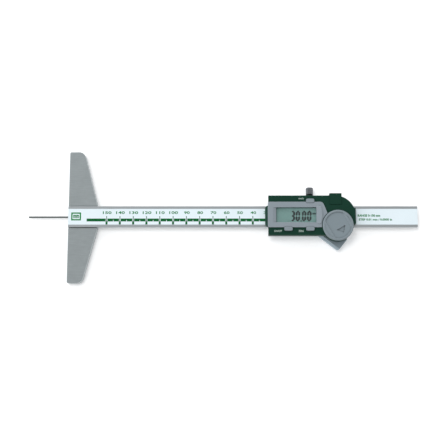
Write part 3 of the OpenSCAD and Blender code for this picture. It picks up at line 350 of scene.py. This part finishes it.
def softenedCopy(node, settings):
    source = frame["nodes"][node]
    data = source.data.copy()
    data.name = settings["name"]
    obj = bpy.data.objects.new(settings["name"], data)
    bpy.context.scene.collection.objects.link(obj)
    mesh = bmesh.new()
    mesh.from_mesh(data)
    bmesh.ops.remove_doubles(mesh, verts=mesh.verts, dist=rounding["joinWithin"])
    # faces in one plane are joined, then thin rings are cut again into plain parts
    flatLimit = math.radians(rounding["flatWithin"])
    bmesh.ops.dissolve_limit(mesh, angle_limit=flatLimit, verts=mesh.verts, edges=mesh.edges)
    thin = settings.get("ring", 0) * mm
    rings = [f for f in mesh.faces if len(f.verts) > rounding["cornersOfRing"]
             and f.calc_area() < thin * f.calc_perimeter()]
    bmesh.ops.connect_verts_concave(mesh, faces=rings)
    # level and upright edges above the given level are rounded, other creases stay crisp
    weight = mesh.edges.layers.float.new("bevel_weight_edge")
    level = settings.get("above", -1.0) * mm
    for edge in mesh.edges:
        angle = math.degrees(edge.calc_face_angle(0.0))
        rise = abs((edge.verts[0].co - edge.verts[1].co).normalized().z)
        slanted = rounding["levelBelow"] < rise < rounding["uprightFrom"]
        above = min(v.co.z for v in edge.verts) > level
        rounded = angle > rounding["roundOver"] and not slanted and above
        edge[weight] = float(rounded)
        edge.smooth = rounded or angle < rounding["crispFrom"]
    for face in mesh.faces:
        face.smooth = True
    mesh.to_mesh(data)
    mesh.free()
    bevel = obj.modifiers.new("softEdges", "BEVEL")
    bevel.width = settings["edge"] * mm
    bevel.segments = settings.get("segments", 2)
    bevel.limit_method = "WEIGHT"
    bevel.use_clamp_overlap = False
    # large flat faces keep their own shading up to their rounded edges
    flat = obj.modifiers.new("flatShading", "WEIGHTED_NORMAL")
    flat.mode = "FACE_AREA_WITH_ANGLE"
    flat.weight = rounding["flatWeight"]
    flat.keep_sharp = True
    paint(obj, settings["finish"])
    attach(obj, bodyOf(node))
    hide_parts(node)


# edge: width of the rounding; above: level that it starts from; ring: half the width of the widest ring
# face that is cut again, all in millimetres
softened = {
    "base": dict(name="crossBase", edge=0.35, segments=3, finish="ground_steel", slot="satin_steel"),
    "beam": dict(name="mainBeam", edge=0.12, finish="satin_steel"),
    "end_stop": dict(name="stopPlate", edge=0.2, finish="satin_steel"),
    "rear_plate": dict(name="rearPlate", edge=0.15, finish="satin_steel"),
    "slider_frame": dict(name="sliderFrame", edge=0.25, segments=3, finish="frame_steel"),
    "housing": dict(name="sliderHousing", edge=0.3, segments=3, above=14.9, ring=0.6,
                    finish="green_plastic"),
    "bezel": dict(name="displayBezel", edge=0.16, segments=3, finish="grey_plastic"),
    "port_cover": dict(name="portCover", edge=0.25, segments=3, finish="green_plastic"),
    "battery_cover": dict(name="batteryCover", edge=0.12, finish="cover_grey"),
    "left_wiper": dict(name="leftWiper", edge=0.2, finish="wiper_rubber"),
    "right_wiper": dict(name="rightWiper", edge=0.2, finish="wiper_rubber"),
    "lock_screw": dict(name="lockScrew", edge=0.06, ring=1.2, finish="lock_steel"),
    "lock_collar": dict(name="lockCollar", edge=0.15, finish="black_plastic"),
    "depth_rod": dict(name="depthRod", edge=0.2, segments=3, finish="rod_steel"),
    "on_off_button": dict(name="onOffButton", edge=0.3, segments=3, finish="button_grey"),
    "zero_button": dict(name="zeroButton", edge=0.3, segments=3, finish="button_grey"),
    "unit_button": dict(name="unitButton", edge=0.3, segments=3, finish="button_grey"),
}
for node, settings in softened.items():
    softenedCopy(node, settings)
kept = [part for part in frame["record"]["subparts"] if part["node"] not in softened]
for part in kept:
    dressNode(part["node"], part["material_slot"])
print("pieces dressed:", len(softened), "softened,", len(kept), "kept")


# print: numbers, key labels, unit marks

lettering = {"curveSteps": 3, "joinWithin": 1e-5}


def textInto(mesh, text, center, width, height, bottom, thick, bold):
    # raised letters, fitted to a width and a height in millimetres
    curve = bpy.data.curves.new("lettering", "FONT")
    curve.body = text
    curve.resolution_u = lettering["curveSteps"]
    curve.offset = bold
    holder = bpy.data.objects.new("lettering", curve)
    bpy.context.scene.collection.objects.link(holder)
    bpy.context.view_layer.update()
    flat = holder.to_mesh()
    part = bmesh.new()
    part.from_mesh(flat)
    holder.to_mesh_clear()
    bpy.data.objects.remove(holder)
    bmesh.ops.remove_doubles(part, verts=part.verts, dist=lettering["joinWithin"])
    low = Vector([min(v.co[i] for v in part.verts) for i in range(3)])
    high = Vector([max(v.co[i] for v in part.verts) for i in range(3)])
    scale = (width * mm / (high.x - low.x), height * mm / (high.y - low.y))
    for v in part.verts:
        v.co.x = center[0] * mm + (v.co.x - (low.x + high.x) / 2) * scale[0]
        v.co.y = center[1] * mm + (v.co.y - (low.y + high.y) / 2) * scale[1]
        v.co.z = bottom * mm
    raised = bmesh.ops.extrude_face_region(part, geom=part.faces[:])
    for v in (g for g in raised["geom"] if isinstance(g, bmesh.types.BMVert)):
        v.co.z += thick * mm
    bmesh.ops.recalc_face_normals(part, faces=part.faces)
    joined = bpy.data.meshes.new("letteringPart")
    part.to_mesh(joined)
    part.free()
    mesh.from_mesh(joined)
    bpy.data.meshes.remove(joined)


def meshPiece(name, mesh, finish, body):
    data = bpy.data.meshes.new(name)
    mesh.to_mesh(data)
    mesh.free()
    obj = bpy.data.objects.new(name, data)
    bpy.context.scene.collection.objects.link(obj)
    paint(obj, finish)
    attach(obj, body)


def plateInto(mesh, points, bottom, thick):
    # closed plate over a flat outline, in millimetres
    low = [mesh.verts.new((x * mm, y * mm, bottom * mm)) for x, y in points]
    high = [mesh.verts.new((x * mm, y * mm, (bottom + thick) * mm)) for x, y in points]
    mesh.faces.new(low[::-1])
    mesh.faces.new(high)
    count = len(points)
    for i in range(count):
        j = (i + 1) % count
        mesh.faces.new((low[i], low[j], high[j], high[i]))


# top: level of the surface that carries the print; ink: thickness of the print; bold: how far it swells
scalePrint = {"zeroAt": 179.0, "range": 150, "pitch": 10, "numberX": 0.35, "numberY": 3.1,
              "numberHigh": 2.1, "digitWide": 1.95, "digitGap": 0.35,
              "bold": 0.025, "ink": 0.03, "top": 8.0}


def buildScalePrint():
    mesh = bmesh.new()
    look = scalePrint
    for reading in range(0, look["range"] + 1, look["pitch"]):
        text = str(reading)
        wide = len(text) * look["digitWide"] + (len(text) - 1) * look["digitGap"]
        textInto(mesh, text, (look["zeroAt"] - reading + look["numberX"], look["numberY"]), wide,
                 look["numberHigh"], look["top"], look["ink"], look["bold"])
    meshPiece("scaleNumbers", mesh, "number_ink", "beam")


# a framed mm at the left end of the scale, the range and the step of the reading at its right end
unitPrint = {"frameAt": (6.0, 0.2), "frameSize": (7.4, 6.1), "unitShare": (0.6, 0.425), "line": 1.0,
             "bold": 0.04, "ink": 0.03, "top": 8.0,
             "rangeText": "RANGE 0-150 mm", "rangeAt": (226.4, 0.9), "rangeSize": (17.0, 1.85),
             "stepText": "STEP 0.01 mm / 0.0005 in", "stepAt": (231.2, -2.15), "stepSize": (25.0, 1.65)}


def buildUnitPrint():
    mesh = bmesh.new()
    look = unitPrint
    x, y = look["frameAt"]
    wide, high = look["frameSize"]
    line = look["line"]
    left, right, low, top = x - wide / 2, x + wide / 2, y - high / 2, y + high / 2
    bars = [(left, low, right, low + line), (left, top - line, right, top),
            (left, low + line, left + line, top - line), (right - line, low + line, right, top - line)]
    for x0, y0, x1, y1 in bars:
        plateInto(mesh, [(x0, y0), (x1, y0), (x1, y1), (x0, y1)], look["top"], look["ink"])
    shareX, shareY = look["unitShare"]
    textInto(mesh, "mm", (x, y), wide * shareX, high * shareY, look["top"], look["ink"], look["bold"])
    for label in ("range", "step"):
        textInto(mesh, look[label + "Text"], look[label + "At"], *look[label + "Size"],
                 look["top"], look["ink"], look["bold"])
    meshPiece("unitPrint", mesh, "number_ink", "beam")


keyLabels = {"top": 15.0, "ink": 0.03, "bold": 0.025, "labels": [
    ("ON/OFF", (157.7, -11.9), (5.8, 1.5)),
    ("ZERO", (174.9, -11.95), (3.9, 1.5)),
    ("mm/in", (175.1, 12.7), (3.9, 1.4))]}


def buildKeyLabels():
    mesh = bmesh.new()
    for text, center, size in keyLabels["labels"]:
        textInto(mesh, text, center, *size, keyLabels["top"], keyLabels["ink"], keyLabels["bold"])
    meshPiece("keyLabels", mesh, "label_ink", "slider")


buildScalePrint()
buildUnitPrint()
buildKeyLabels()
print("print laid down")


# display

# the digits' bars: bar is their width, gap the space at their ends, slant the lean per unit of height
display = {"glassTop": 13.0, "ink": 0.04, "digitWide": 3.45, "digitHigh": 8.2, "bar": 1.5, "gap": 0.03,
           "slant": 0.05, "bottomY": -4.4, "digitsAt": [166.9, 170.7, 175.3, 179.2], "reading": "3000",
           "point": (174.6, -4.4), "pointSize": 0.9,
           "unitAt": (184.9, 1.55), "unitSize": (2.7, 1.4), "unitBold": 0.05}
segmentsOn = {"3": "abgcd", "0": "abcdef"}


def segmentShapes(wide, high, bar, gap):
    # outlines of the seven bars, lower left corner of the digit at 0, 0
    mid, half = high / 2, bar / 2

    def level(y):
        return [(half + gap, y), (bar + gap, y - half), (wide - bar - gap, y - half),
                (wide - half - gap, y), (wide - bar - gap, y + half), (bar + gap, y + half)]

    def upright(x, y0, y1):
        return [(x, y0 + gap), (x + half, y0 + half + gap), (x + half, y1 - half - gap),
                (x, y1 - gap), (x - half, y1 - half - gap), (x - half, y0 + half + gap)]

    return {"a": level(high - half), "g": level(mid), "d": level(half),
            "b": upright(wide - half, mid, high - half), "c": upright(wide - half, half, mid),
            "f": upright(half, mid, high - half), "e": upright(half, half, mid)}


def buildDisplay():
    look = display
    mesh = bmesh.new()
    shapes = segmentShapes(look["digitWide"], look["digitHigh"], look["bar"], look["gap"])
    for digit, at in zip(look["reading"], look["digitsAt"]):
        for segment in segmentsOn[digit]:
            points = [(at + x + y * look["slant"], look["bottomY"] + y) for x, y in shapes[segment]]
            plateInto(mesh, points, look["glassTop"], look["ink"])
    x, y = look["point"]
    size = look["pointSize"]
    square = [(x, y), (x + size, y), (x + size, y + size), (x, y + size)]
    plateInto(mesh, square, look["glassTop"], look["ink"])
    textInto(mesh, "mm", look["unitAt"], *look["unitSize"], look["glassTop"], look["ink"], look["unitBold"])
    meshPiece("displayDigits", mesh, "lcd_ink", "slider")


buildDisplay()
print("display ready")


# floor, light, camera

# size, middle and drop below the part in metres
floorLook = {"size": 30.0, "middle": 0.13, "drop": 0.00002, "color": 0.9, "rough": 0.9, "glow": 0.27}


def buildFloor():
    data = bpy.data.meshes.new("studioFloor")
    half = floorLook["size"] / 2
    corners = [(-half, -half, 0), (half, -half, 0), (half, half, 0), (-half, half, 0)]
    data.from_pydata(corners, [], [(0, 1, 2, 3)])
    floor = bpy.data.objects.new("studioFloor", data)
    floor.location = (floorLook["middle"], 0, -floorLook["drop"])
    bpy.context.scene.collection.objects.link(floor)
    material = bpy.data.materials.new("studioFloor")
    material.use_nodes = True
    tree = material.node_tree
    shader = tree.nodes["Principled BSDF"]
    shader.inputs["Base Color"].default_value = [floorLook["color"]] * 3 + [1]
    shader.inputs["Roughness"].default_value = floorLook["rough"]
    shader.inputs["Specular IOR Level"].default_value = 0.0
    shader.inputs["Emission Color"].default_value = (1, 1, 1, 1)
    # the camera, metal and glass see the floor white, and its shadow stays
    path = tree.nodes.new("ShaderNodeLightPath")
    seen = addMath(tree, "MAXIMUM", path.outputs["Is Camera Ray"], path.outputs["Is Glossy Ray"])
    seen = addMath(tree, "MAXIMUM", seen, path.outputs["Is Transmission Ray"])
    tree.links.new(addMath(tree, "MULTIPLY", seen, floorLook["glow"]), shader.inputs["Emission Strength"])
    data.materials.append(material)


worldLook = {"color": (0.97, 0.985, 1.0), "walls": 0.92, "ceilingDrop": 0.42, "toRight": -0.47,
             "toBack": 0.42, "least": 0.5}


def buildWorld():
    # pale walls, a darker ceiling, and more light from the left and from behind
    world = bpy.data.worlds.new("studioWorld")
    world.use_nodes = True
    tree = world.node_tree
    back = tree.nodes["Background"]
    back.inputs["Color"].default_value = (*worldLook["color"], 1)
    place = tree.nodes.new("ShaderNodeTexCoord")
    split = tree.nodes.new("ShaderNodeSeparateXYZ")
    tree.links.new(place.outputs["Generated"], split.inputs[0])
    height = addMath(tree, "MULTIPLY", split.outputs["Z"], split.outputs["Z"])
    drop = addMath(tree, "MULTIPLY", height, worldLook["ceilingDrop"])
    room = addMath(tree, "SUBTRACT", worldLook["walls"], drop)
    for axis, change in (("X", worldLook["toRight"]), ("Y", worldLook["toBack"])):
        room = addMath(tree, "ADD", room, addMath(tree, "MULTIPLY", split.outputs[axis], change))
    tree.links.new(addMath(tree, "MAXIMUM", room, worldLook["least"]), back.inputs["Strength"])
    bpy.context.scene.world = world


keyLamp = {"place": (-0.4, 0.34, 2.4), "target": (0.14, 0, 0), "size": 0.75, "power": 20.0}


def buildKeyLamp():
    lamp = bpy.data.lights.new("keyLamp", "AREA")
    lamp.shape = "SQUARE"
    lamp.size = keyLamp["size"]
    lamp.energy = keyLamp["power"]
    obj = bpy.data.objects.new("keyLamp", lamp)
    place = Vector(keyLamp["place"])
    obj.location = place
    obj.rotation_euler = (Vector(keyLamp["target"]) - place).to_track_quat("-Z", "Y").to_euler()
    obj.visible_glossy = False  # no bright square on the metal
    bpy.context.scene.collection.objects.link(obj)


# place and clip in metres, tilt in degrees, lens and sensor in millimetres
view = {"place": (0.1293, -0.1199, 0.7403), "tilt": 9.28, "lens": 82.55, "sensor": 36,
        "shift": (-0.058, 0.0047), "clip": (0.01, 20)}


def buildCamera():
    camera = bpy.data.cameras.new("camera")
    camera.lens = view["lens"]
    camera.sensor_width = view["sensor"]
    camera.shift_x, camera.shift_y = view["shift"]
    camera.clip_start, camera.clip_end = view["clip"]
    obj = bpy.data.objects.new("camera", camera)
    obj.location = view["place"]
    obj.rotation_euler = (math.radians(view["tilt"]), 0, 0)
    bpy.context.scene.collection.objects.link(obj)
    bpy.context.scene.camera = obj


buildFloor()
buildWorld()
buildKeyLamp()
buildCamera()
bpy.context.scene.view_settings.view_transform = "Standard"
print("studio ready")
